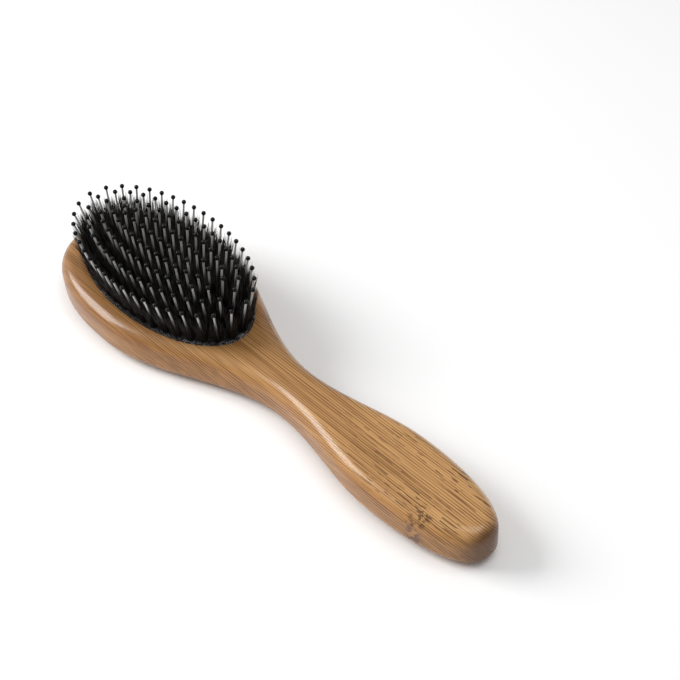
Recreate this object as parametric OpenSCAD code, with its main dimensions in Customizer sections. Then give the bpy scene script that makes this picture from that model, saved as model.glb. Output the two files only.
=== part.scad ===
// Oval cushion brush for beards. A slab of bamboo is routed out for a domed
// rubber cushion, and the cushion carries rows of ball-tipped pins, each
// standing in its own tuft of bristle. Every row sinks as the cushion gives.
// The brush lies on its flat back: X runs from the head to the grip, Z is up.

/* [Bamboo body] */
// Overall length of the brush
brush_len = 220; // [200:1:260]
// Thickness of the bamboo
body_t = 17; // [16.5:0.5:20]
// Width of the head at its widest
head_w = 60.5; // [60:0.5:68]
// Width of the neck at its narrowest
neck_w = 16.8; // [15:0.2:20]
// Width of the grip at its widest
grip_w = 30.8; // [26:0.2:36]
// Distance of the widest place of the head from the head's end
head_at = 47.5; // [46:0.5:52]
// Distance of the narrowest place of the neck from the head's end
neck_at = 124; // [120:1:132]
// Distance of the widest place of the grip from the head's end
grip_at = 176.5; // [168:0.5:182]
// Fullness of the head's round end, where 2 is an ellipse
head_full = 2.5; // [2.3:0.05:2.7]
// Fullness of the grip's round end
grip_full = 2.3; // [2:0.05:2.5]
// Radius of the rounded edge all round
edge_r = 5.5; // [4:0.25:6]

/* [Cushion] */
// Length of the oval pocket that the cushion fills
pad_len = 89; // [84:0.5:90]
// Width of the oval pocket
pad_w = 45.5; // [44:0.5:48]
// Distance of the pocket's middle from the head's end
pad_at = 50.5; // [50:0.5:53]
// Depth of the pocket below the face of the bamboo
pocket_depth = 10; // [9:0.5:11]
// Height of the cushion's crown above the face of the bamboo
crown = 5; // [4:0.25:6]
// Wall thickness of the rubber dome
rubber_t = 1.6; // [1.2:0.1:2]
// Wall thickness of the hem that hangs down inside the pocket
hem_t = 1.1; // [0.8:0.1:1.2]
// Height of the bead on the cushion's hem
bead_h = 2; // [1.5:0.1:2.5]
// Distance that the bead reaches under the bamboo
bead_reach = 1.4; // [1:0.1:1.6]
// Diameter of the vent in the cushion
vent_d = 2; // [1.5:0.1:2.4]

/* [Pins and bristles] */
// Distance of the rim row from the pocket's wall, on the face of the cushion
rim_in = 2.5; // [2.5:0.1:3.5]
// Distance between neighbouring pins in a row
pin_pitch = 5.2; // [5:0.1:6]
// Length of a pin above the cushion, its ball included
pin_len = 17; // [14:0.5:20]
// Diameter of a pin
pin_d = 0.8; // [0.7:0.05:1]
// Diameter of a ball tip
ball_d = 1.8; // [1.6:0.1:2.2]
// Length of the bristles above the cushion
tuft_len = 12.5; // [10:0.5:13]
// Diameter of a tuft at its root
tuft_root_d = 2.6; // [2.4:0.1:2.8]
// Diameter of a tuft at its tips
tuft_top_d = 3.8; // [3.4:0.1:4]
// Lean of a pin that would stand on the very rim of the cushion
fan = 14.5; // [12:0.5:18]

/* [Hidden] */
$fn = 24;

bamboo = [0.77, 0.6, 0.41];
rubber = [0.07, 0.07, 0.075];
nylon = [0.62, 0.62, 0.64];
resin = [0.03, 0.03, 0.03];
bristle = [0.1, 0.085, 0.075];
moulded = [0.25, 0.25, 0.26];

// Places along X, with the middle of the brush at 0
half_len = brush_len / 2;
head_x = head_at - half_len;
neck_x = neck_at - half_len;
grip_x = grip_at - half_len;
pad_x = pad_at - half_len;

// Points round the bamboo, and steps in each quarter of its rounded edge
outline_points = 120;
edge_steps = 5;

// The oval is a family of level curves, each a given distance in from the wall
half_pad_len = pad_len / 2;
half_pad_w = pad_w / 2;
pad_points = 48;
dome_steps = 7;
// Half width of the small flat left at the top of the dome
dome_flat = 0.6;
// Gap between the rubber and the bamboo
rubber_gap = 0.1;
// Height of the bead's underside above the pocket's floor
bead_lift = 3;
pocket_z = body_t - pocket_depth;
bead_z = pocket_z + bead_lift;
// Cut that reaches past a face
past = 1;

// Rows count from the rim inwards, and the last is a straight line of pins
rim_row = 0;
outer_row = 1;
middle_row = 2;
inner_row = 3;
centre_row = 4;
row_pitch = (half_pad_w - rim_in) / centre_row;
// Steps in the table that spaces the pins evenly round an oval
arc_steps = 180;

// Running gap round a shank in its hole, on the radius
fit = 0.05;
// Gap between the rubber's underside and an anchor, along the pin
anchor_gap = 0.5;
anchor_h = 1.8;
anchor_d = 3;
// Foot of a pin, below its anchor
foot_h = 0.5;
foot_d = 2;
// Straight length of a tuft above the cushion, before it flares
tuft_neck = 0.8;

// Smooth step from a to b as u goes from 0 to 1
function ease(a, b, u) = a + (b - a) * (1 - cos(180 * u)) / 2;

// Round end of the outline: 1 at the widest place, 0 at the tip
function round_end(u, full) = pow(max(0, 1 - pow(u, full)), 1 / full);

// Half width of the bamboo at x, with the whole outline drawn in by inset
function half_width(x, inset) =
    x < head_x ? (head_w / 2 - inset) * round_end((head_x - x) / (head_x + half_len - inset), head_full)
    : x < neck_x ? ease(head_w / 2, neck_w / 2, (x - head_x) / (neck_x - head_x)) - inset
    : x < grip_x ? ease(neck_w / 2, grip_w / 2, (x - neck_x) / (grip_x - neck_x)) - inset
    : (grip_w / 2 - inset) * round_end((x - grip_x) / (half_len - inset - grip_x), grip_full);

// Outline of the bamboo at one height
function body_ring(inset, z) = [
    for (i = [0:outline_points - 1])
        let (turn = 360 * i / outline_points, x = -(half_len - inset) * cos(turn))
        [x, sign(sin(turn)) * half_width(x, inset), z]
];

// Level curve of the oval, a distance in from the pocket's wall
function oval_ring(inset, z) = [
    for (i = [0:pad_points - 1])
        let (turn = 360 * i / pad_points)
        [pad_x - (half_pad_len - inset) * cos(turn), (half_pad_w - inset) * sin(turn), z]
];

// Height of the cushion's face on the level curve at a distance in from the wall
function dome_z(inset) = body_t + crown * (1 - pow(1 - inset / half_pad_w, 2));

// Inset of each ring of the dome, closest together near the rim
function dome_inset(k, edge) =
    edge + (half_pad_w - dome_flat - edge) * (1 - cos(90 * k / dome_steps));

// Distance in from the wall of each row
function row_inset(row) = half_pad_w - (centre_row - row) * row_pitch;

function oval_point(row, turn) =
    [(half_pad_len - row_inset(row)) * cos(turn), (half_pad_w - row_inset(row)) * sin(turn)];

// Running length round a row's oval, as pairs of length and turn
function arc_table(row) = [
    for (i = 0, run = 0; i <= arc_steps;
         i = i + 1,
         run = run + norm(oval_point(row, 360 * i / arc_steps)
                          - oval_point(row, 360 * (i - 1) / arc_steps)))
        [run, 360 * i / arc_steps]
];

// Feet of the pins in an oval row, as [x, y, z, heading, lean]
function oval_spots(row) =
    let (
        inset = row_inset(row),
        table = arc_table(row),
        run = table[arc_steps][0],
        count = round(run / pin_pitch)
    )
    [
        for (i = [0:count - 1])
            let (
                turn = lookup(run * (i + 0.5) / count, table),
                spot = oval_point(row, turn),
                heading = atan2(
                    sin(turn) / (half_pad_w - inset),
                    cos(turn) / (half_pad_len - inset))
            )
            [pad_x + spot[0], spot[1], dome_z(inset), heading, fan * (1 - inset / half_pad_w)]
    ];

// The centre row leaves its last place, on the grip side, to the vent
line_half = half_pad_len - half_pad_w;
line_gaps = round(2 * line_half / pin_pitch);
line_pitch = 2 * line_half / line_gaps;
line_spots = [
    for (i = [0:line_gaps - 1])
        [pad_x - line_half + i * line_pitch, 0, dome_z(half_pad_w), 0, 0]
];
vent_x = pad_x + line_half;

function spots(row) = row == centre_row ? line_spots : oval_spots(row);

// Strip j of the flat cap on a ring, across from one side to the mirrored point on the other
function cap_strip(j, count, first) = concat(
    [first + j, first + j + 1],
    j + 1 == count / 2 ? [] : [first + count - j - 1],
    j == 0 ? [] : [first + count - j]
);

function turned_over(face) = [for (i = [len(face) - 1:-1:0]) face[i]];

// Closed solid wrapped round a stack of rings. All have the same even number of
// points, and each ring is its own mirror image across the X axis.
module wrapped(rings) {
    count = len(rings[0]);
    last = len(rings) - 1;
    polyhedron(
        points = [for (ring = rings) each ring],
        faces = concat(
            [for (j = [0:count / 2 - 1]) turned_over(cap_strip(j, count, 0))],
            [
                for (i = [0:last - 1]) for (j = [0:count - 1])
                    let (k = (j + 1) % count)
                    [i * count + j, i * count + k, (i + 1) * count + k, (i + 1) * count + j]
            ],
            [for (j = [0:count / 2 - 1]) cap_strip(j, count, last * count)]
        )
    );
}

// Oval plate, a distance out from the pocket's wall
module oval_plate(reach, height) {
    linear_extrude(height) polygon([for (p = oval_ring(-reach, 0)) [p[0], p[1]]]);
}

// Puts its child on every pin of a row, with Z along the pin
module on_pins(row) {
    for (s = spots(row)) translate([s[0], s[1], s[2]]) rotate([0, s[4], s[3]]) children();
}

module bamboo_body() {
    // Quarter round from the back up, and its mirror image down to the face
    quarter = [
        for (k = [0:edge_steps])
            let (a = 90 * k / edge_steps)
            [edge_r * (1 - sin(a)), edge_r * (1 - cos(a))]
    ];
    lower = [for (q = quarter) body_ring(q[0], q[1])];
    upper = [for (k = [edge_steps:-1:0]) body_ring(quarter[k][0], body_t - quarter[k][1])];
    color(bamboo) difference() {
        wrapped(concat(lower, upper));
        translate([0, 0, pocket_z]) oval_plate(0, pocket_depth + past);
        translate([0, 0, bead_z]) oval_plate(bead_reach, bead_h);
    }
}

module rubber_cushion() {
    hem = rubber_gap + hem_t;
    under = [
        for (k = [dome_steps:-1:0])
            oval_ring(dome_inset(k, hem), dome_z(dome_inset(k, hem)) - rubber_t)
    ];
    bead = [
        oval_ring(hem, bead_z + rubber_gap),
        oval_ring(rubber_gap - bead_reach, bead_z + rubber_gap),
        oval_ring(rubber_gap - bead_reach, bead_z + bead_h - rubber_gap),
        oval_ring(rubber_gap, bead_z + bead_h - rubber_gap)
    ];
    over = [
        for (k = [0:dome_steps])
            oval_ring(dome_inset(k, rubber_gap), dome_z(dome_inset(k, rubber_gap)))
    ];
    hole_h = rubber_t + 2 * past;
    color(rubber) difference() {
        wrapped(concat(under, bead, over));
        for (row = [rim_row:centre_row])
            on_pins(row) translate([0, 0, past - hole_h])
                cylinder(h = hole_h, d = tuft_root_d + 2 * fit);
        translate([vent_x, 0, dome_z(half_pad_w) - hole_h + past])
            cylinder(h = hole_h, d = vent_d);
    }
}

// Round shank with a foot, which runs through its anchor and up into its ball
module pin() {
    foot_z = -(rubber_t + anchor_gap + anchor_h + foot_h);
    translate([0, 0, foot_z]) cylinder(h = foot_h, d = foot_d);
    translate([0, 0, foot_z]) cylinder(h = pin_len - ball_d / 2 - foot_z, d = pin_d);
}

// Drop of resin on the end of a pin, with a blind socket for the shank
module tip() {
    translate([0, 0, pin_len - ball_d / 2]) difference() {
        sphere(d = ball_d);
        translate([0, 0, -ball_d]) cylinder(h = ball_d + fit, d = pin_d + 2 * fit);
    }
}

// Sleeve of bristle round a pin: straight through the rubber, then flaring
module tuft() {
    bore = pin_d / 2 + fit;
    root = tuft_root_d / 2;
    rotate_extrude() polygon([
        [bore, -rubber_t], [root, -rubber_t], [root, tuft_neck],
        [tuft_top_d / 2, tuft_len], [bore, tuft_len]
    ]);
}

// Collar that grips the folded ends of a tuft under the rubber
module anchor() {
    translate([0, 0, -(rubber_t + anchor_gap + anchor_h)]) difference() {
        cylinder(h = anchor_h, d = anchor_d);
        translate([0, 0, -past]) cylinder(h = anchor_h + 2 * past, d = pin_d + 2 * fit);
    }
}

module row_of_pins(row) { color(nylon) on_pins(row) pin(); }
module row_of_tips(row) { color(resin) on_pins(row) tip(); }
module row_of_tufts(row) { color(bristle) on_pins(row) tuft(); }
module row_of_anchors(row) { color(moulded) on_pins(row) anchor(); }

module rim_row_pins() { row_of_pins(rim_row); }
module rim_row_tips() { row_of_tips(rim_row); }
module rim_row_bristles() { row_of_tufts(rim_row); }
module rim_row_anchors() { row_of_anchors(rim_row); }
module outer_row_pins() { row_of_pins(outer_row); }
module outer_row_tips() { row_of_tips(outer_row); }
module outer_row_bristles() { row_of_tufts(outer_row); }
module outer_row_anchors() { row_of_anchors(outer_row); }
module middle_row_pins() { row_of_pins(middle_row); }
module middle_row_tips() { row_of_tips(middle_row); }
module middle_row_bristles() { row_of_tufts(middle_row); }
module middle_row_anchors() { row_of_anchors(middle_row); }
module inner_row_pins() { row_of_pins(inner_row); }
module inner_row_tips() { row_of_tips(inner_row); }
module inner_row_bristles() { row_of_tufts(inner_row); }
module inner_row_anchors() { row_of_anchors(inner_row); }
module centre_row_pins() { row_of_pins(centre_row); }
module centre_row_tips() { row_of_tips(centre_row); }
module centre_row_bristles() { row_of_tufts(centre_row); }
module centre_row_anchors() { row_of_anchors(centre_row); }

bamboo_body();
rubber_cushion();
rim_row_pins();
rim_row_tips();
rim_row_bristles();
rim_row_anchors();
outer_row_pins();
outer_row_tips();
outer_row_bristles();
outer_row_anchors();
middle_row_pins();
middle_row_tips();
middle_row_bristles();
middle_row_anchors();
inner_row_pins();
inner_row_tips();
inner_row_bristles();
inner_row_anchors();
centre_row_pins();
centre_row_tips();
centre_row_bristles();
centre_row_anchors();
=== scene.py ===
import math
import random

import bpy
import numpy as np
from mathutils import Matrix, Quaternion, Vector


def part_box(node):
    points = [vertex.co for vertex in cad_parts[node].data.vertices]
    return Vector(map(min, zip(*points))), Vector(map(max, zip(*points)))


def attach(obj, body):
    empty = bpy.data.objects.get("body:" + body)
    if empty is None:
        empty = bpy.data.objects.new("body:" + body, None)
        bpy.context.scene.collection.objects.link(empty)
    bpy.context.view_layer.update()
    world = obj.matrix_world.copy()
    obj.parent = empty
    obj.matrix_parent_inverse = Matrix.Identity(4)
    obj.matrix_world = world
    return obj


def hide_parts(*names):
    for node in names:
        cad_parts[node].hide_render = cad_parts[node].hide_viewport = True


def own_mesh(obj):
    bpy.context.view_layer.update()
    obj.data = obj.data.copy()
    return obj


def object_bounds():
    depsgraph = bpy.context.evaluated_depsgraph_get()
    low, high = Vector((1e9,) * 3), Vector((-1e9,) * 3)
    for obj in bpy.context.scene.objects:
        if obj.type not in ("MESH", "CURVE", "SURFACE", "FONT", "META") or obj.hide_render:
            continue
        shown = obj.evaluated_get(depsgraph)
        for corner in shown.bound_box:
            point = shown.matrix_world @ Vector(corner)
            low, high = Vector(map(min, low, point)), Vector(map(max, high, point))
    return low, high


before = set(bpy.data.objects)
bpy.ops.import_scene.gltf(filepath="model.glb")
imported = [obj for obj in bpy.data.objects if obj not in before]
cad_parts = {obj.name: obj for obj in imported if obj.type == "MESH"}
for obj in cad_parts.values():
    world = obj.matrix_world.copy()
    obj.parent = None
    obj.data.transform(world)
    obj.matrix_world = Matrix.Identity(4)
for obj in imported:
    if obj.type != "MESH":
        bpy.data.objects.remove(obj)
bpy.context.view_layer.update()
rowNames = ["rim", "outer", "middle", "inner", "centre"]
joined = 1e-6  # points nearer than this, in metres, are one point
print("frame loaded, rows of pins:", ", ".join(rowNames))


# Small helpers for selecting and editing

def deselectAll():
    bpy.ops.object.select_all(action="DESELECT")


def activate(piece):
    deselectAll()
    piece.select_set(True)
    bpy.context.view_layer.objects.active = piece


def named(name):
    piece = bpy.context.object
    piece.name = name
    piece.data.name = name
    return piece


def setPlaces(piece, places):
    piece.data.vertices.foreach_set("co", np.asarray(places, np.float32).ravel())
    piece.data.update()


def getPlaces(piece):
    places = np.zeros(len(piece.data.vertices) * 3, np.float32)
    piece.data.vertices.foreach_get("co", places)
    return places.reshape(-1, 3).astype(float)


def applyPlace(piece):  # moves the object's place into its mesh
    activate(piece)
    bpy.ops.object.transform_apply(location=True, rotation=True, scale=True)


def editWhole(piece):  # enters edit mode with all of the piece selected
    activate(piece)
    bpy.ops.object.mode_set(mode="EDIT")
    bpy.ops.mesh.select_all(action="SELECT")


def leaveEdit():
    bpy.ops.object.mode_set(mode="OBJECT")


def selectEdges(piece, wanted):  # stays in edit mode, and wanted takes the two ends of an edge
    activate(piece)
    bpy.ops.object.mode_set(mode="EDIT")
    bpy.ops.mesh.select_mode(type="EDGE")
    bpy.ops.mesh.select_all(action="DESELECT")
    bpy.ops.object.mode_set(mode="OBJECT")
    points = piece.data.vertices
    for edge in piece.data.edges:
        edge.select = wanted(points[edge.vertices[0]].co, points[edge.vertices[1]].co)
    bpy.ops.object.mode_set(mode="EDIT")


def tidyNormals(piece):
    editWhole(piece)
    bpy.ops.mesh.remove_doubles(threshold=joined)
    bpy.ops.mesh.normals_make_consistent(inside=False)
    leaveEdit()


def applyModifiers(piece):
    activate(piece)
    for modifier in list(piece.modifiers):
        bpy.ops.object.modifier_apply(modifier=modifier.name)


def smoothShade(piece, angle):
    activate(piece)
    bpy.ops.object.shade_smooth_by_angle(angle=math.radians(angle))


def meshPiece(name, places, faces):  # a piece of many copies of a pattern
    mesh = bpy.data.meshes.new(name)
    mesh.from_pydata(np.vstack(places).tolist(), [], faces)
    piece = bpy.data.objects.new(name, mesh)
    bpy.context.scene.collection.objects.link(piece)
    return piece


def finishPiece(piece, body, material, slot, *nodes):  # dresses a piece, and hides the CAD nodes it replaces
    piece.data.materials.clear()
    piece.data.materials.append(material)
    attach(piece, body)
    if nodes:
        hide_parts(*nodes)


# Small helpers for building materials

def newMaterial(name):
    material = bpy.data.materials.new(name)
    material.use_nodes = True
    tree = material.node_tree
    tree.nodes.clear()
    output = tree.nodes.new("ShaderNodeOutputMaterial")
    shader = tree.nodes.new("ShaderNodeBsdfPrincipled")
    tree.links.new(shader.outputs["BSDF"], output.inputs["Surface"])
    return material, tree, shader


def feed(tree, socket, value):  # value is another node's output, or a plain number, vector or colour
    if isinstance(value, bpy.types.NodeSocket):
        tree.links.new(value, socket)
    else:
        socket.default_value = value


def calc(tree, operation, a, b=0.0, clamp=False):
    node = tree.nodes.new("ShaderNodeMath")
    node.operation = operation
    node.use_clamp = clamp
    feed(tree, node.inputs[0], a)
    feed(tree, node.inputs[1], b)
    return node.outputs[0]


def times(tree, value, *others):
    for other in others:
        value = calc(tree, "MULTIPLY", value, other)
    return value


def plus(tree, value, *others):
    for other in others:
        value = calc(tree, "ADD", value, other)
    return value


def minus(tree, a, b):
    return calc(tree, "SUBTRACT", a, b)


def unsigned(tree, value):
    return calc(tree, "ABSOLUTE", value)


def spread(tree, value, low, high, toLow=0.0, toHigh=1.0, smooth=True):  # maps a range to a range, clamped
    node = tree.nodes.new("ShaderNodeMapRange")
    node.interpolation_type = "SMOOTHSTEP" if smooth else "LINEAR"
    given = {"Value": value, "From Min": low, "From Max": high, "To Min": toLow, "To Max": toHigh}
    for name, part in given.items():
        feed(tree, node.inputs[name], part)
    return node.outputs["Result"]


def scaled(tree, vector, scale):
    node = tree.nodes.new("ShaderNodeVectorMath")
    node.operation = "MULTIPLY"
    feed(tree, node.inputs[0], vector)
    feed(tree, node.inputs[1], scale)
    return node.outputs[0]


def noise(tree, vector, fineness, detail=2.0, roughness=0.5):  # fineness is per metre, along each axis
    node = tree.nodes.new("ShaderNodeTexNoise")
    feed(tree, node.inputs["Vector"], scaled(tree, vector, fineness))
    feed(tree, node.inputs["Detail"], detail)
    node.inputs["Scale"].default_value = 1.0
    node.inputs["Roughness"].default_value = roughness
    return node.outputs["Fac"]


def objectPlace(tree):
    return tree.nodes.new("ShaderNodeTexCoord").outputs["Object"]


def apart(tree, vector):  # the three values of a vector
    node = tree.nodes.new("ShaderNodeSeparateXYZ")
    feed(tree, node.inputs["Vector"], vector)
    return node.outputs["X"], node.outputs["Y"], node.outputs["Z"]


def combined(tree, *parts):  # a vector from three values
    node = tree.nodes.new("ShaderNodeCombineXYZ")
    for socket, part in zip(node.inputs, parts):
        feed(tree, socket, part)
    return node.outputs["Vector"]


def mixColour(tree, factor, a, b, blend="MIX"):
    node = tree.nodes.new("ShaderNodeMix")
    node.data_type = "RGBA"
    node.blend_type = blend
    feed(tree, node.inputs["Factor"], factor)
    feed(tree, node.inputs["A"], a)
    feed(tree, node.inputs["B"], b)
    return node.outputs["Result"]


def bumped(tree, shader, height, distance):
    node = tree.nodes.new("ShaderNodeBump")
    node.inputs["Strength"].default_value = 1.0
    node.inputs["Distance"].default_value = distance
    feed(tree, node.inputs["Height"], height)
    tree.links.new(node.outputs["Normal"], shader.inputs["Normal"])


# Mottling: soft clouds in the colour and the gloss, a node group that the pins, tips and anchors share

def mottleGroup():
    group = bpy.data.node_groups.new("mottle", "ShaderNodeTree")
    taken = {
        "Place": "Vector", "Fineness": "Vector", "Detail": "Float", "Colour": "Color", "Deep": "Color",
        "Deep From": "Float", "Deep To": "Float", "Glossy": "Float", "Dull": "Float",
    }
    for name, kind in taken.items():
        group.interface.new_socket(name=name, in_out="INPUT", socket_type="NodeSocket" + kind)
    for name, kind in (("Colour", "Color"), ("Roughness", "Float"), ("Height", "Float")):
        group.interface.new_socket(name=name, in_out="OUTPUT", socket_type="NodeSocket" + kind)
    given = group.nodes.new("NodeGroupInput").outputs
    result = group.nodes.new("NodeGroupOutput").inputs
    cloud = noise(group, given["Place"], given["Fineness"], given["Detail"])
    deepness = spread(group, cloud, given["Deep From"], given["Deep To"])
    feed(group, result["Colour"], mixColour(group, deepness, given["Colour"], given["Deep"]))
    feed(group, result["Roughness"], spread(group, cloud, 0.3, 0.7, given["Glossy"], given["Dull"]))
    feed(group, result["Height"], cloud)
    return group


def mottled(tree, shader, look):  # places the group with a finish's own values, and returns its height
    node = tree.nodes.new("ShaderNodeGroup")
    node.node_tree = mottle
    feed(tree, node.inputs["Place"], objectPlace(tree))
    glossy, dull = look["roughness"]
    deepFrom, deepTo = look["deepSpan"]
    given = {
        "Fineness": look["fineness"], "Detail": look["detail"],
        "Colour": look["colour"], "Deep": look["deep"],
        "Deep From": deepFrom, "Deep To": deepTo, "Glossy": glossy, "Dull": dull,
    }
    for name, value in given.items():
        node.inputs[name].default_value = value
    tree.links.new(node.outputs["Colour"], shader.inputs["Base Color"])
    tree.links.new(node.outputs["Roughness"], shader.inputs["Roughness"])
    return node.outputs["Height"]


# Bamboo: growth layers that lean across the slab, so they show as lines above, at the sides and on the ends

bambooFinish = {
    "pale": (0.560, 0.310, 0.120, 1),
    "warm": (0.300, 0.144, 0.048, 1),
    "dark": (0.085, 0.029, 0.008, 1),
    "knuckle": (0.070, 0.025, 0.008, 1),
    # the end colour holds painted shade as well as end grain
    "endGrainAndShade": (0.105, 0.044, 0.012, 1),
    "paintedSideShade": (0.96, 0.84, 0.62, 1),  # painted shade: the sides are darkened
    "layerLean": 32.0,           # degrees that the layers lean from upright
    "layerPitch": 0.00076,
    "lineDepth": (0.84, 0.98),   # how dark the lines are above, and at the sides
    "faintLine": 0.22,           # the share of that where a line is faintest
    "flatDepth": 0.62,
    "dashPitch": 0.00125,
    "dashDepth": 0.88,
    "dashesFrom": 0.030,         # the grip's top cuts the fibres short from here on
    "dashesFull": 0.070,
    "stripWidth": 0.0062,
    "stripShare": 0.10,          # what the strips, bands and clouds each add to the warm tone, and the head's painted shade
    "bandShare": 0.32,
    "cloudShare": 0.34,
    "paintedHeadShadeShare": 0.62,
    "paintedHeadShadeSpan": (-0.08, 0.09),   # the head's painted shade fades out along the handle
    "fleckShare": 0.20,
    "wander": 0.0035,            # how far the fibres wander across
    "waviness": 9.0,             # radians that a line strays from its even place
    "knuckleAt": 0.094,          # the canes' knuckles lie near the end of the grip, on one side
    "knuckleSpread": 0.012,
    "knuckleEdge": -0.0060,
    "knuckleFade": 0.003,
    "knuckleHalf": (0.0012, 0.0050),
    "knuckleDepth": 0.80,
    "endShare": 0.90,
    "endLines": 0.85,
    "roughness": (0.38, 0.52),
    "specular": 0.15,
    "coat": 0.55,
    "coatRoughness": 0.19,
    "relief": 0.000008,
}
# How fine each pattern is, per metre: along the cane, across it and through it
bambooFineness = {
    "wander": (6, 22, 22),
    "clouds": (14, 55, 55),
    "bands": (7, 240, 60),
    "flecks": (35, 1900, 420),
    "wobble": (5, 170, 45),
    "depth": (24, 1000, 140),
    "streaks": (9, 160, 1150),
    "dashes": (165, 820, 300),
    "patches": (20, 60, 90),
    "blotches": (380, 620, 620),
}


def ridges(tree, across, pitch, wobble):  # a wave with one crest to each pitch
    return calc(tree, "SINE", plus(tree, times(tree, across, 2 * math.pi / pitch), wobble))


def bambooMaterial():
    look, fineness = bambooFinish, bambooFineness
    material, tree, shader = newMaterial("lacqueredBamboo")
    coords = tree.nodes.new("ShaderNodeTexCoord")
    place = coords.outputs["Object"]
    along, y, z = apart(tree, place)
    faceX, faceY, faceZ = apart(tree, coords.outputs["Normal"])

    # u runs across the layers and v along them, and the fibres wander a little
    lean = math.radians(look["layerLean"])
    drift = times(tree, minus(tree, noise(tree, place, fineness["wander"], 1.0), 0.5), look["wander"])
    u = plus(tree, times(tree, y, math.cos(lean)), times(tree, z, math.sin(lean)), drift)
    v = minus(tree, times(tree, z, math.cos(lean)), times(tree, y, math.sin(lean)))
    fibre = combined(tree, along, u, v)

    # glued strips, each a little lighter or darker than the next
    pick = tree.nodes.new("ShaderNodeTexWhiteNoise")
    pick.noise_dimensions = "1D"
    strip = calc(tree, "DIVIDE", plus(tree, y, drift), look["stripWidth"])
    feed(tree, pick.inputs["W"], calc(tree, "FLOOR", strip))
    stripTone = pick.outputs["Value"]

    # soft clouds and bands of tone, with painted shade darker towards the head, and fine flecks over them
    clouds = spread(tree, noise(tree, place, fineness["clouds"]), 0.35, 0.68)
    bands = spread(tree, noise(tree, fibre, fineness["bands"], 2.0, 0.55), 0.38, 0.70)
    paintedHeadShade = spread(tree, along, *look["paintedHeadShadeSpan"], look["paintedHeadShadeShare"], 0.0)
    tone = plus(tree, times(tree, stripTone, look["stripShare"]), times(tree, bands, look["bandShare"]),
                times(tree, clouds, look["cloudShare"]), paintedHeadShade)
    fleckNoise = noise(tree, fibre, fineness["flecks"], 1.0)
    flecks = spread(tree, fleckNoise, 0.35, 0.65, -look["fleckShare"], look["fleckShare"], smooth=False)
    base = mixColour(tree, calc(tree, "ADD", tone, flecks, clamp=True), look["pale"], look["warm"])

    # the layers, one dark line to each pitch, strong in one place and faint in another
    wobble = times(tree, noise(tree, fibre, fineness["wobble"]), look["waviness"])
    crests = spread(tree, ridges(tree, u, look["layerPitch"], wobble), 0.15, 0.95)
    depth = spread(tree, noise(tree, fibre, fineness["depth"], 2.0, 0.6), 0.38, 0.58, look["faintLine"], 1.0)
    lines = times(tree, crests, depth)

    # where a layer lies flat in the surface only its fibres show
    squareOn = plus(tree, times(tree, faceY, math.cos(lean)), times(tree, faceZ, math.sin(lean)))
    flat = spread(tree, unsigned(tree, squareOn), 0.84, 0.95)
    streakNoise = noise(tree, combined(tree, along, y, z), fineness["streaks"], 2.0, 0.6)
    streaks = spread(tree, streakNoise, 0.48, 0.60, 0.0, look["flatDepth"])
    lines = plus(tree, times(tree, lines, minus(tree, 1.0, flat)), times(tree, streaks, flat))

    # short dashes where the grip's top cuts the fibre bundles
    dashRows = spread(tree, ridges(tree, u, look["dashPitch"], wobble), 0.10, 0.80)
    dashCuts = spread(tree, noise(tree, fibre, fineness["dashes"], 1.0), 0.50, 0.55)
    patches = spread(tree, noise(tree, place, fineness["patches"]), 0.28, 0.44)
    onGrip = spread(tree, along, look["dashesFrom"], look["dashesFull"], 0.20, 1.0)
    onTop = spread(tree, faceZ, 0.55, 0.85, 0.35, 1.0)
    dashes = times(tree, dashRows, dashCuts, patches, times(tree, onGrip, onTop))

    # the sides get painted shade, and their lines are cut deeper
    sideOn = spread(tree, unsigned(tree, faceZ), 0.25, 0.80, 1.0, 0.0)
    lineShare = spread(tree, sideOn, 0.0, 1.0, *look["lineDepth"], smooth=False)
    fibres = calc(tree, "MAXIMUM", times(tree, lines, lineShare), times(tree, dashes, look["dashDepth"]))
    sideShaded = mixColour(tree, sideOn, base, look["paintedSideShade"], "MULTIPLY")
    grained = mixColour(tree, fibres, sideShaded, look["dark"])

    # knuckles of the cane, a blotch on some of the strips
    offset = times(tree, minus(tree, stripTone, 0.5), look["knuckleSpread"])
    fromKnuckle = minus(tree, minus(tree, along, offset), look["knuckleAt"])
    nearKnuckle = spread(tree, unsigned(tree, fromKnuckle), *look["knuckleHalf"], 1.0, 0.0)
    blotches = spread(tree, noise(tree, place, fineness["blotches"], 3.0, 0.6), 0.49, 0.58)
    edge = look["knuckleEdge"]
    onSide = spread(tree, y, edge - look["knuckleFade"], edge, 1.0, 0.0)
    knuckle = times(tree, nearKnuckle, blotches, look["knuckleDepth"], onSide)
    marked = mixColour(tree, knuckle, grained, look["knuckle"])

    # end grain soaks up the most lacquer, and painted shade darkens the end faces further, so they look
    # darkest
    endOn = spread(tree, unsigned(tree, faceX), 0.35, 0.85)
    endGrainAndShadeColour = mixColour(tree, times(tree, lines, look["endLines"]), look["endGrainAndShade"], look["knuckle"])
    colour = mixColour(tree, times(tree, endOn, look["endShare"]), marked, endGrainAndShadeColour)

    feed(tree, shader.inputs["Base Color"], colour)
    feed(tree, shader.inputs["Roughness"], spread(tree, fibres, 0.0, 0.6, *look["roughness"]))
    shader.inputs["Specular IOR Level"].default_value = look["specular"]
    shader.inputs["Coat Weight"].default_value = look["coat"]
    shader.inputs["Coat Roughness"].default_value = look["coatRoughness"]
    bumped(tree, shader, times(tree, fibres, -1.0), look["relief"])
    return material


# Rubber: a coarse knurl pressed all over, with small glints painted on its crests

rubberFinish = {
    "colour": (0.0035, 0.0035, 0.0038, 1),
    "paintedGlint": (0.05, 0.05, 0.053, 1),
    "roughness": (0.24, 0.46),
    "specular": 0.55,
    "pitch": 0.0011,
    "slant": 0.7,                # the knurl runs corner to corner
    "grit": (1300, 1300, 1300),
    "relief": 0.00032,
}


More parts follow.
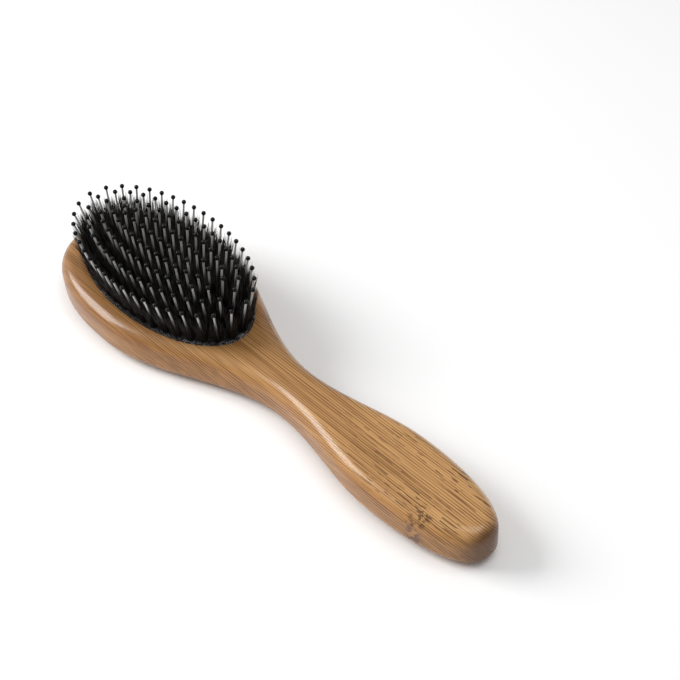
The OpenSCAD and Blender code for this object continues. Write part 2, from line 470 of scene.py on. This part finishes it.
def rubberMaterial():
    look = rubberFinish
    material, tree, shader = newMaterial("knurledRubber")
    place = objectPlace(tree)
    x, y, _ = apart(tree, place)
    turn = 2 * math.pi / look["pitch"] * look["slant"]
    weave = times(tree, calc(tree, "SINE", times(tree, plus(tree, x, y), turn)),
                  calc(tree, "SINE", times(tree, minus(tree, x, y), turn)))
    grit = noise(tree, place, look["grit"])
    height = plus(tree, weave, grit)
    # painted glints: the knurl's crests are coloured lighter
    glint = spread(tree, height, 0.95, 1.30)
    feed(tree, shader.inputs["Base Color"], mixColour(tree, glint, look["colour"], look["paintedGlint"]))
    feed(tree, shader.inputs["Roughness"], spread(tree, grit, 0.3, 0.7, *look["roughness"]))
    shader.inputs["Specular IOR Level"].default_value = look["specular"]
    bumped(tree, shader, height, look["relief"])
    return material


knurlFinish = {
    "colour": (0.006, 0.006, 0.0065, 1),
    "paintedSheen": (0.55, 0.55, 0.56, 1),
    "roughness": (0.5, 0.4),     # plain, and where the sheen is painted
    "sheenPatches": (70, 70, 70),
    "grains": (900, 900, 900),
}


def sheenPaintedMaterial():  # the grains at the cushion's foot have a grey sheen painted on in places
    look = knurlFinish
    material, tree, shader = newMaterial("sheenPaintedRubber")
    place = objectPlace(tree)
    # painted reflections: a grey sheen in patches over the grains
    paintedSheen = times(tree, spread(tree, noise(tree, place, look["sheenPatches"]), 0.34, 0.54),
                   spread(tree, noise(tree, place, look["grains"], 1.0), 0.42, 0.62))
    feed(tree, shader.inputs["Base Color"], mixColour(tree, paintedSheen, look["colour"], look["paintedSheen"]))
    feed(tree, shader.inputs["Roughness"], spread(tree, paintedSheen, 0.0, 1.0, *look["roughness"]))
    return material


pinFinish = {
    "colour": (0.66, 0.65, 0.64, 1),
    "deep": (0.36, 0.35, 0.34, 1),
    "deepSpan": (0.35, 0.7),
    "fineness": (260, 260, 60),
    "detail": 2.0,
    "roughness": (0.25, 0.4),
    "metallic": 0.25,
    "coat": 0.3,
    "coatRoughness": 0.15,
    "drawn": (900, 900, 90),     # faint lines along the shank
    "relief": 0.00002,
}


def pinMaterial():
    look = pinFinish
    material, tree, shader = newMaterial("silverNylon")
    mottled(tree, shader, look)
    shader.inputs["Metallic"].default_value = look["metallic"]
    shader.inputs["Coat Weight"].default_value = look["coat"]
    shader.inputs["Coat Roughness"].default_value = look["coatRoughness"]
    bumped(tree, shader, noise(tree, objectPlace(tree), look["drawn"], 1.0), look["relief"])
    return material


tipFinish = {
    "colour": (0.002, 0.002, 0.002, 1),
    "deep": (0.006, 0.006, 0.006, 1),
    "deepSpan": (0.4, 0.8),
    "fineness": (700, 700, 700),
    "detail": 2.0,
    "roughness": (0.2, 0.32),
    "specular": 0.22,
    "relief": 0.00002,
}


def tipMaterial():
    look = tipFinish
    material, tree, shader = newMaterial("blackResin")
    height = mottled(tree, shader, look)
    shader.inputs["Specular IOR Level"].default_value = look["specular"]
    bumped(tree, shader, height, look["relief"])
    return material


anchorFinish = {
    "colour": (0.045, 0.045, 0.048, 1),
    "deep": (0.03, 0.03, 0.032, 1),
    "deepSpan": (0.35, 0.7),
    "fineness": (500, 500, 500),
    "detail": 3.0,
    "roughness": (0.45, 0.6),
    "relief": 0.00003,
}


def anchorMaterial():
    look = anchorFinish
    material, tree, shader = newMaterial("mouldedPlastic")
    bumped(tree, shader, mottled(tree, shader, look), look["relief"])
    return material


bristleFinish = {
    "root": (0.0022, 0.0020, 0.0019, 1),
    "ends": (0.075, 0.068, 0.064, 1),
    "roughness": (0.40, 0.60),
    "specular": 0.18,
    "fineness": (900, 900, 120),
    "streakShare": 0.25,
}


def bristleMaterial():  # hairShade holds how far up its hair a point is, and a random tone for the hair
    look = bristleFinish
    material, tree, shader = newMaterial("boarBristle")
    shade = tree.nodes.new("ShaderNodeAttribute")
    shade.attribute_name = "hairShade"
    up, hairTone, _ = apart(tree, shade.outputs["Vector"])
    streak = noise(tree, objectPlace(tree), look["fineness"])
    pale = times(tree, hairTone, spread(tree, up, 0.55, 1.0))
    streaked = times(tree, spread(tree, streak, 0.5, 0.75), look["streakShare"])
    pale = calc(tree, "ADD", pale, streaked, clamp=True)
    feed(tree, shader.inputs["Base Color"], mixColour(tree, pale, look["root"], look["ends"]))
    feed(tree, shader.inputs["Roughness"], spread(tree, streak, 0.3, 0.7, *look["roughness"]))
    shader.inputs["Specular IOR Level"].default_value = look["specular"]
    return material


mottle = mottleGroup()
bamboo = bambooMaterial()
rubber = rubberMaterial()
sheenPaintedRubber = sheenPaintedMaterial()
silverNylon = pinMaterial()
blackResin = tipMaterial()
boarBristle = bristleMaterial()
mouldedPlastic = anchorMaterial()
print("materials made")


# The bamboo body: its outline from the frame, raised to a slab, rounded and routed out

bodyLook = {
    "wallHeight": 0.0055,        # height of the lowest full-width ring of the CAD body
    "levelBand": 0.00005,        # how near that height a point of the ring is
    "axisBand": 0.00001,
    "outlinePoints": 320,
    "edgeSegments": 8,
    "edgeAngle": 30,             # degrees past which an edge stays sharp
    "pocketPoints": 192,
    "pocketRim": 0.0004,         # the small bevel round the mouth of the pocket
    "rimSegments": 3,
    "rimBand": 0.004,            # how near the pocket's oval an edge of its mouth is
    "rimDepth": 0.003,
}


def halfOutline(node, height):  # the +Y half of the outline at a height, from head to grip
    places = getPlaces(node)
    level = places[np.abs(places[:, 2] - height) < bodyLook["levelBand"]]
    level = level[level[:, 1] > -bodyLook["axisBand"]]
    points = np.unique(np.round(level[:, :2], 6), axis=0)
    return points[np.argsort(points[:, 0])]


def evenly(points, count):  # resamples a line by its running length, on a cubic through its points
    step = np.linalg.norm(np.diff(points, axis=0), axis=1)
    run = np.concatenate([[0], np.cumsum(step)])
    wanted = np.linspace(0, run[-1], count)
    slopes = np.gradient(points, run, axis=0)
    slopes[0] = (0, 1)  # the outline leaves each end square to the length
    slopes[-1] = (0, -1)
    k = np.clip(np.searchsorted(run, wanted) - 1, 0, len(run) - 2)
    h = (run[k + 1] - run[k])[:, None]
    t = ((wanted - run[k]) / h[:, 0])[:, None]
    return ((1 + 2 * t) * (1 - t) ** 2 * points[k] + t * (1 - t) ** 2 * h * slopes[k]
            + t * t * (3 - 2 * t) * points[k + 1] + t * t * (t - 1) * h * slopes[k + 1])


def makeBody():
    look = bodyLook
    low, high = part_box("bamboo_body")
    outline = halfOutline(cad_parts["bamboo_body"], look["wallHeight"])
    half = evenly(outline, look["outlinePoints"] // 2 + 1)
    ring = np.vstack([half, half[-2:0:-1] * (1, -1)])
    deselectAll()
    bpy.ops.mesh.primitive_circle_add(vertices=len(ring), radius=0.1, fill_type="NGON", location=(0, 0, 0))
    body = named("bambooBody")
    setPlaces(body, np.column_stack([ring, np.full(len(ring), low.z)]))
    editWhole(body)
    bpy.ops.mesh.extrude_region_move(TRANSFORM_OT_translate={"value": (0, 0, high.z - low.z)})
    leaveEdit()
    tidyNormals(body)
    selectEdges(body, lambda a, b: abs(a.z - b.z) < joined)
    bpy.ops.mesh.bevel(offset=look["wallHeight"], segments=look["edgeSegments"], affect="EDGES",
                       clamp_overlap=False)
    leaveEdit()
    return body


def ovalCutter(name, centre, halfLength, halfWidth, low, high):
    deselectAll()
    middle = (centre.x, centre.y, (low + high) / 2)
    bpy.ops.mesh.primitive_cylinder_add(vertices=bodyLook["pocketPoints"], radius=1, depth=high - low,
                                        location=middle)
    cutter = named(name)
    editWhole(cutter)
    bpy.ops.transform.resize(value=(halfLength, halfWidth, 1))
    leaveEdit()
    applyPlace(cutter)
    return cutter


def cutWith(piece, cutter):
    modifier = piece.modifiers.new("cut", "BOOLEAN")
    modifier.operation = "DIFFERENCE"
    modifier.solver = "EXACT"
    modifier.object = cutter
    applyModifiers(piece)
    bpy.data.objects.remove(cutter)


pocket = {
    "floor": 0.007,
    "beadLow": 0.010,            # the groove that holds the bead of the cushion's hem
    "beadHigh": 0.012,
    "beadReach": 0.0014,
    "gap": 0.0001,               # between the cushion and the bamboo
    "overcut": 0.002,            # how far the cutter stands out of the slab
}


def ovalPocket():  # middle, half length and half width of the pocket, from the box of the cushion in it
    low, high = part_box("rubber_cushion")
    half = (high - low) / 2
    halfLength = half.x - pocket["beadReach"] + pocket["gap"]
    halfWidth = half.y - pocket["beadReach"] + pocket["gap"]
    return (low + high) / 2, halfLength, halfWidth


def routePocket(body):
    look, reach = bodyLook, pocket["beadReach"]
    centre, halfLength, halfWidth = ovalPocket()
    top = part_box("bamboo_body")[1].z
    cutWith(body, ovalCutter("pocketCutter", centre, halfLength, halfWidth, pocket["floor"],
                             top + pocket["overcut"]))
    cutWith(body, ovalCutter("grooveCutter", centre, halfLength + reach, halfWidth + reach,
                             pocket["beadLow"], pocket["beadHigh"]))

    def onRim(point):
        across = ((point.x - centre.x) / halfLength) ** 2 + ((point.y - centre.y) / halfWidth) ** 2
        return abs(across - 1) < look["rimBand"] and point.z > top - look["rimDepth"]

    selectEdges(body, lambda a, b: onRim(a) and onRim(b) and abs(a.z - b.z) < look["pocketRim"])
    bpy.ops.mesh.bevel(offset=look["pocketRim"], segments=look["rimSegments"], affect="EDGES",
                       clamp_overlap=True)
    leaveEdit()


bambooBody = makeBody()
routePocket(bambooBody)
smoothShade(bambooBody, bodyLook["edgeAngle"])
finishPiece(bambooBody, "brush_body", bamboo, "bamboo", "bamboo_body")
print("bamboo body made,", len(bambooBody.data.polygons), "faces")


# The cushion: a domed shell on the pocket's level curves, and its hem held in the groove

cushionLook = {
    "ringPoints": 160,
    "domeAngle": 60,             # degrees past which an edge of the dome, or of its hem, stays sharp
    "hemAngle": 40,
    "domeRings": 14,
    "domeFlat": 0.0006,          # half width of the flat strip along the crown
    "wall": 0.0016,
    "hemWall": 0.0011,
    "hemTop": 0.0004,            # how far below the slab's face the hem ends
    "ventAt": (-0.03775, 0.0),   # one hole lets the air out of the cushion
    "ventRadius": 0.001,
    "ventPoints": 24,
    "ventLength": 0.02,
    "ventDrop": 0.004,           # the middle of the vent's cutter, below the crown
}
knurlLook = {
    "rows": (0.0002, 0.0007, 0.0012),  # how far each row stands in from the pocket's wall
    "perRow": 228,
    "size": (0.00034, 0.00046, 0.00034),
    "edgeAngle": 80,
}


def levelCurve(inset, height, count):
    centre, halfLength, halfWidth = ovalPocket()
    turn = np.linspace(0, 2 * math.pi, count, endpoint=False)
    x = centre.x + (halfLength - inset) * np.cos(turn)
    y = centre.y + (halfWidth - inset) * np.sin(turn)
    return np.column_stack([x, y, np.full(count, height)])


def domeHeight(inset):
    across = ovalPocket()[2]
    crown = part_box("rubber_cushion")[1].z - rimHeight
    return rimHeight + crown * (1 - (1 - min(inset, across) / across) ** 2)


def raiseRings(name, rings, closeEnd):  # a loop of edges extruded from ring to ring, then put in its places
    deselectAll()
    bpy.ops.mesh.primitive_circle_add(vertices=len(rings[0]), radius=0.05, fill_type="NOTHING",
                                      location=(0, 0, 0))
    piece = named(name)
    editWhole(piece)
    for _ in rings[1:]:
        bpy.ops.mesh.extrude_region_move(TRANSFORM_OT_translate={"value": (0, 0, 0.001)})
    if closeEnd:
        bpy.ops.mesh.edge_face_add()
    leaveEdit()
    setPlaces(piece, np.vstack(rings))
    return piece


def makeDome():
    look = cushionLook
    gap, across = pocket["gap"], ovalPocket()[2]
    steps = np.linspace(0, 0.5 * math.pi, look["domeRings"] + 1)
    insets = [gap + (across - look["domeFlat"] - gap) * (1 - math.cos(step)) for step in steps]
    rings = [levelCurve(inset, domeHeight(inset), look["ringPoints"]) for inset in insets]
    dome = raiseRings("cushionDome", rings, True)
    tidyNormals(dome)
    if dome.data.polygons[len(dome.data.polygons) // 2].normal.z < 0:
        editWhole(dome)
        bpy.ops.mesh.flip_normals()
        leaveEdit()
    thick = dome.modifiers.new("wall", "SOLIDIFY")
    thick.thickness = look["wall"]
    thick.offset = -1
    applyModifiers(dome)
    return dome


def pierceVent(dome):
    look = cushionLook
    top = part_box("rubber_cushion")[1].z
    deselectAll()
    bpy.ops.mesh.primitive_cylinder_add(vertices=look["ventPoints"], radius=look["ventRadius"],
                                        depth=look["ventLength"],
                                        location=(*look["ventAt"], top - look["ventDrop"]))
    cutter = named("ventCutter")
    applyPlace(cutter)
    cutWith(dome, cutter)


def makeKnurls():  # small raised grains in rows round the foot of the dome, one modelled and copied
    look = knurlLook
    deselectAll()
    bpy.ops.mesh.primitive_ico_sphere_add(subdivisions=1, radius=0.5, location=(0, 0, 0))
    grain = named("knurlPattern")
    editWhole(grain)
    bpy.ops.transform.resize(value=look["size"])
    leaveEdit()
    pattern = getPlaces(grain)
    grainFaces = [tuple(face.vertices) for face in grain.data.polygons]
    bpy.data.objects.remove(grain)
    places, faces = [], []
    for row, inset in enumerate(look["rows"]):
        line = levelCurve(inset, domeHeight(inset), 2 * look["perRow"])
        for k in range(row % 2, len(line), 2):
            along = line[(k + 1) % len(line)] - line[k - 1]
            along /= np.linalg.norm(along)
            axes = np.array([along, np.cross(along, (0, 0, 1)), (0, 0, 1)])
            first = len(places) * len(pattern)
            places.append(line[k] + pattern @ axes)
            faces += [tuple(first + i for i in face) for face in grainFaces]
    return meshPiece("cushionKnurls", places, faces)


def makeHem():
    gap, wall, reach = pocket["gap"], cushionLook["hemWall"], pocket["beadReach"]
    top = rimHeight - cushionLook["hemTop"]
    low, high = pocket["beadLow"] + gap, pocket["beadHigh"] - gap
    profile = [(gap, top), (gap, high), (gap - reach, high),
               (gap - reach, low), (gap + wall, low), (gap + wall, top)]
    rings = [levelCurve(inset, height, cushionLook["ringPoints"]) for inset, height in profile]
    hem = raiseRings("cushionHem", rings, False)
    activate(hem)
    bpy.ops.object.mode_set(mode="EDIT")
    bpy.ops.mesh.select_mode(type="EDGE")
    bpy.ops.mesh.select_all(action="DESELECT")
    bpy.ops.mesh.select_non_manifold(extend=False)
    bpy.ops.mesh.bridge_edge_loops()
    leaveEdit()
    tidyNormals(hem)
    return hem


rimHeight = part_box("bamboo_body")[1].z
cushionDome = makeDome()
pierceVent(cushionDome)
smoothShade(cushionDome, cushionLook["domeAngle"])
finishPiece(cushionDome, "brush_body", rubber, "cushion_rubber", "rubber_cushion")
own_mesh(cushionDome)
cushionKnurls = makeKnurls()
smoothShade(cushionKnurls, knurlLook["edgeAngle"])
finishPiece(cushionKnurls, "brush_body", sheenPaintedRubber, "cushion_rubber")
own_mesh(cushionKnurls)
cushionHem = makeHem()
smoothShade(cushionHem, cushionLook["hemAngle"])
finishPiece(cushionHem, "brush_body", rubber, "cushion_rubber")
print("cushion made")


# Bristles: one hair is modelled, a tuft is filled with copies of it, and a tuft stands on every pin

tuftLook = {
    "hairs": 96,
    "hairWidth": 0.00021,
    "rootRadius": 0.0016,
    "topRadius": 0.0028,
    "topSpread": (0.8, 1.15),
    "turnStray": 0.3,            # radians
    "length": (0.72, 1.08),      # of a hair, as a share of its tuft's height
    "stretch": (0.94, 1.04),     # of a tuft, as a share of the CAD sleeve's height
    "bend": 0.00045,
    "bendShare": (0.2, 1),
    "kinds": 5,
    "seed": 7,
    "rowSeed": 11,
}
hairLook = {
    "heights": (0, 0.4, 0.75, 1),      # where a hair bends, as shares of its length
    "widths": (1, 0.95, 0.75, 0.12),   # and how wide it is there
}
goldenAngle = 2.39996  # radians between one hair and the next in a sunflower spread


def makeHair():  # a thin three-sided spike of unit height and width, in three lengths
    look = hairLook
    deselectAll()
    bpy.ops.mesh.primitive_cylinder_add(vertices=3, radius=0.5, depth=1, end_fill_type="NOTHING",
                                        location=(0, 0, 0.5))
    hair = named("hairPattern")
    applyPlace(hair)
    editWhole(hair)
    for height in look["heights"][1:-1]:
        bpy.ops.mesh.bisect(plane_co=(0, 0, height), plane_no=(0, 0, 1))
        bpy.ops.mesh.select_all(action="SELECT")
    leaveEdit()
    places = getPlaces(hair)
    places[:, :2] *= np.interp(places[:, 2], look["heights"], look["widths"])[:, None]
    faces = [tuple(face.vertices) for face in hair.data.polygons]
    bpy.data.objects.remove(hair)
    return places, faces


def tuftAxes(node):  # foot, direction and height of every sleeve of a bristle node, from a merged copy of it
    deselectAll()
    copy = node.copy()
    copy.data = node.data.copy()
    copy.parent = None
    copy.hide_viewport = False
    bpy.context.scene.collection.objects.link(copy)
    editWhole(copy)
    bpy.ops.mesh.remove_doubles(threshold=joined)
    bpy.ops.mesh.separate(type="LOOSE")
    leaveEdit()
    axes = []
    for sleeve in list(bpy.context.selected_objects):
        places = getPlaces(sleeve)
        middle = places.mean(0)
        upward = np.linalg.svd(places - middle, full_matrices=False)[2][0]
        upward *= np.sign(upward[2])
        along = (places - middle) @ upward
        axes.append((middle + upward * along.min(), upward, along.max() - along.min()))
        bpy.data.objects.remove(sleeve)
    axes.sort(key=lambda a: (round(a[0][0], 5), round(a[0][1], 5)))
    return axes


def roundly(angle):  # the point of the unit circle at an angle
    return np.array([math.cos(angle), math.sin(angle)])


def tuftPattern(hairPlaces, hairFaces, kind):
    look = tuftLook
    chance = random.Random(look["seed"] + kind)
    places, faces, shades = [], [], []
    x, y, z = hairPlaces.T
    for k in range(look["hairs"]):
        # a sunflower spread over the root, each hair leaning out as far as it stands from the middle
        share = math.sqrt((k + 0.5) / look["hairs"])
        outward = roundly(k * goldenAngle + chance.uniform(-look["turnStray"], look["turnStray"]))
        length = chance.uniform(*look["length"])
        foot = outward * look["rootRadius"] * share
        top = outward * look["topRadius"] * share * chance.uniform(*look["topSpread"])
        swing = roundly(chance.uniform(0, 2 * math.pi))
        bend = swing * look["bend"] * chance.uniform(*look["bendShare"])
        spin = chance.uniform(0, 2 * math.pi)
        turned = hairPlaces.copy()
        turned[:, 0] = (x * math.cos(spin) - y * math.sin(spin)) * look["hairWidth"]
        turned[:, 1] = (x * math.sin(spin) + y * math.cos(spin)) * look["hairWidth"]
        turned[:, :2] += foot + (top - foot) * z[:, None] + bend * (z * z)[:, None]
        turned[:, 2] = z * length
        first = len(places) * len(hairPlaces)
        places.append(turned)
        faces += [tuple(first + i for i in face) for face in hairFaces]
        shades.append(np.column_stack([z, np.full(len(z), chance.random()), np.zeros(len(z))]))
    return np.vstack(places), faces, np.vstack(shades)


def makeTufts(row, patterns):
    look = tuftLook
    chance = random.Random(len(row) + look["rowSeed"])
    places, faces, shades, count = [], [], [], 0
    for foot, upward, height in tuftAxes(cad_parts[f"{row}_row_bristles"]):
        pattern, patternFaces, patternShades = patterns[chance.randrange(len(patterns))]
        side = np.cross(upward, (0, 1, 0))
        side /= np.linalg.norm(side)
        front = np.cross(upward, side)
        spin = chance.uniform(0, 2 * math.pi)
        first = side * math.cos(spin) + front * math.sin(spin)
        second = front * math.cos(spin) - side * math.sin(spin)
        stretch = height * chance.uniform(*look["stretch"])
        places.append(foot + pattern @ np.array([first, second, upward * stretch]))
        faces += [tuple(count + i for i in face) for face in patternFaces]
        shades.append(patternShades)
        count += len(pattern)
    tufts = meshPiece(f"{row}RowTufts", places, faces)
    layer = tufts.data.attributes.new("hairShade", "FLOAT_VECTOR", "POINT")
    layer.data.foreach_set("vector", np.vstack(shades).astype(np.float32).ravel())
    activate(tufts)
    bpy.ops.object.shade_smooth()
    return tufts


hairPlaces, hairFaces = makeHair()
tuftPatterns = [tuftPattern(hairPlaces, hairFaces, kind) for kind in range(tuftLook["kinds"])]
for row in rowNames:
    tufts = makeTufts(row, tuftPatterns)
    finishPiece(tufts, f"{row}_row", boarBristle, "boar_bristle", f"{row}_row_bristles")
    print(row, "row of tufts made,", len(tufts.data.polygons), "faces")


# Pins, tips and anchors keep their own shapes and take their finish

def dress(nodeName, material):
    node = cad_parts[nodeName]
    node.data.materials.clear()
    node.data.materials.append(material)


for row in rowNames:
    dress(f"{row}_row_pins", silverNylon)
    dress(f"{row}_row_tips", blackResin)
    dress(f"{row}_row_anchors", mouldedPlastic)
print("pins, tips and anchors dressed")


# Floor, lights and camera

stageLook = {
    "floor": (0.92, 0.92, 0.92, 1),
    "floorRoughness": 0.9,
    "floorSize": 6.0,
    "sky": (1.0, 1.0, 1.0, 1),
    "skyStrength": 0.38,
}
lightLook = {
    "keyLight": {
        "azimuth": -57, "elevation": 33, "distance": 1.1,
        "size": (0.62, 0.58), "power": 11.8, "aim": (-0.02, 0, 0.01),
    },
    "topLight": {
        "azimuth": 120, "elevation": 80, "distance": 0.85,
        "size": (0.6, 0.6), "power": 3.1, "aim": (0.12, 0.03, 0.01),
    },
}
cameraLook = {
    "azimuth": 50.0, "elevation": 45.5, "tilt": 4.0, "distance": 0.572,
    "target": (-0.0014, 0.0354, 0.0),
    "lens": 79.4, "sensor": 36, "clipStart": 0.01,
}


def bearing(azimuth, elevation):  # from the target towards the camera or a light
    a, e = math.radians(azimuth), math.radians(elevation)
    return Vector((math.sin(a) * math.cos(e), -math.cos(a) * math.cos(e), math.sin(e)))


def softLight(name, look):
    data = bpy.data.lights.new(name, "AREA")
    data.shape = "RECTANGLE"
    data.size, data.size_y = look["size"]
    data.energy = look["power"]
    light = bpy.data.objects.new(name, data)
    bpy.context.scene.collection.objects.link(light)
    back = bearing(look["azimuth"], look["elevation"])
    light.location = Vector(look["aim"]) + back * look["distance"]
    light.rotation_euler = (-back).to_track_quat("-Z", "Y").to_euler()


def makeStage():
    look = stageLook
    deselectAll()
    bpy.ops.mesh.primitive_plane_add(size=look["floorSize"], location=(0, 0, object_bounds()[0].z))
    floor = named("floor")
    material, _, shader = newMaterial("paleFloor")
    shader.inputs["Base Color"].default_value = look["floor"]
    shader.inputs["Roughness"].default_value = look["floorRoughness"]
    floor.data.materials.append(material)
    world = bpy.data.worlds.new("studio")
    bpy.context.scene.world = world
    world.use_nodes = True
    background = world.node_tree.nodes["Background"]
    background.inputs["Color"].default_value = look["sky"]
    background.inputs["Strength"].default_value = look["skyStrength"]
    for name, light in lightLook.items():
        softLight(name, light)
    bpy.context.scene.view_settings.view_transform = "Standard"


def makeCamera():
    look = cameraLook
    data = bpy.data.cameras.new("camera")
    data.lens = look["lens"]
    data.sensor_width = look["sensor"]
    data.clip_start = look["clipStart"]
    camera = bpy.data.objects.new("camera", data)
    bpy.context.scene.collection.objects.link(camera)
    back = bearing(look["azimuth"], look["elevation"])
    camera.location = Vector(look["target"]) + back * look["distance"]
    tilt = Quaternion((0, 0, 1), -math.radians(look["tilt"]))
    camera.rotation_euler = ((-back).to_track_quat("-Z", "Y") @ tilt).to_euler()
    bpy.context.scene.camera = camera


makeStage()
makeCamera()
print("camera and lights placed")
